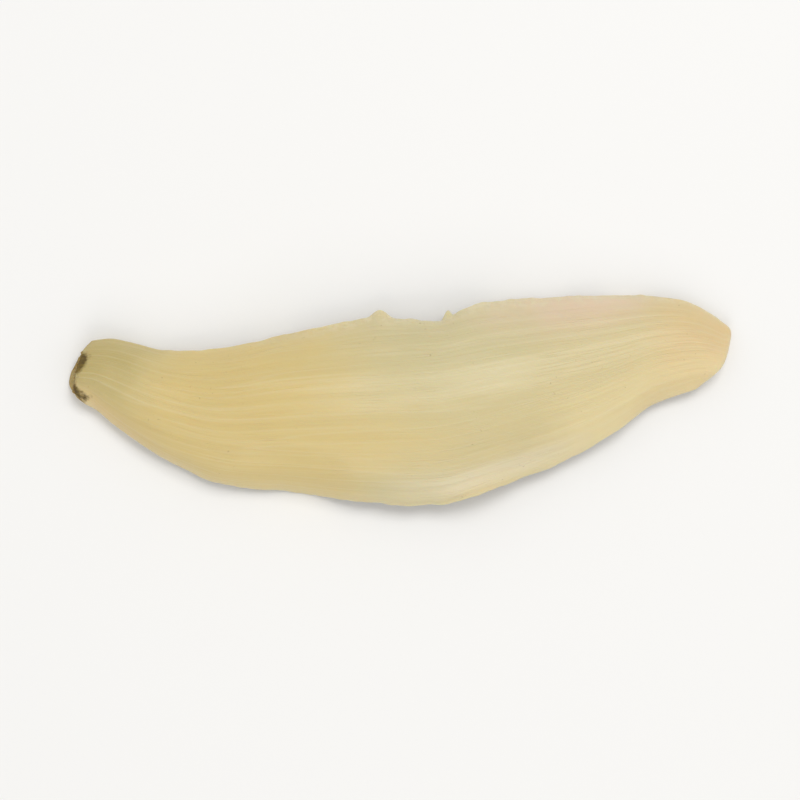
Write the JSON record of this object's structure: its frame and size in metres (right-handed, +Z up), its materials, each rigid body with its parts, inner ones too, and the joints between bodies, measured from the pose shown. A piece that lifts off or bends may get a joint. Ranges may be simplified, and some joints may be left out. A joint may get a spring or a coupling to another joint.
{
  "type": "dried lily bulb scale",
  "caption": "Thin boat-shaped dried bulb scale lying convex back up, with waved margins, a blunt slanting tip and a broken base scar.",
  "frame": {"origin": "below the middle of the scale's box, on the surface it rests on", "axes": "+X from the broken base to the tip, +Y across to the left margin, +Z up out of the convex back"},
  "size_m": [0.0456, 0.0144, 0.005],
  "materials": {
    "scale_flesh": "satin, waxy dried bulb flesh, cream with golden and greenish patches, paler at the rims"
  },
  "bodies": {
    "root": {"bulb_scale": "scale_flesh"}
  },
  "joints": []
}
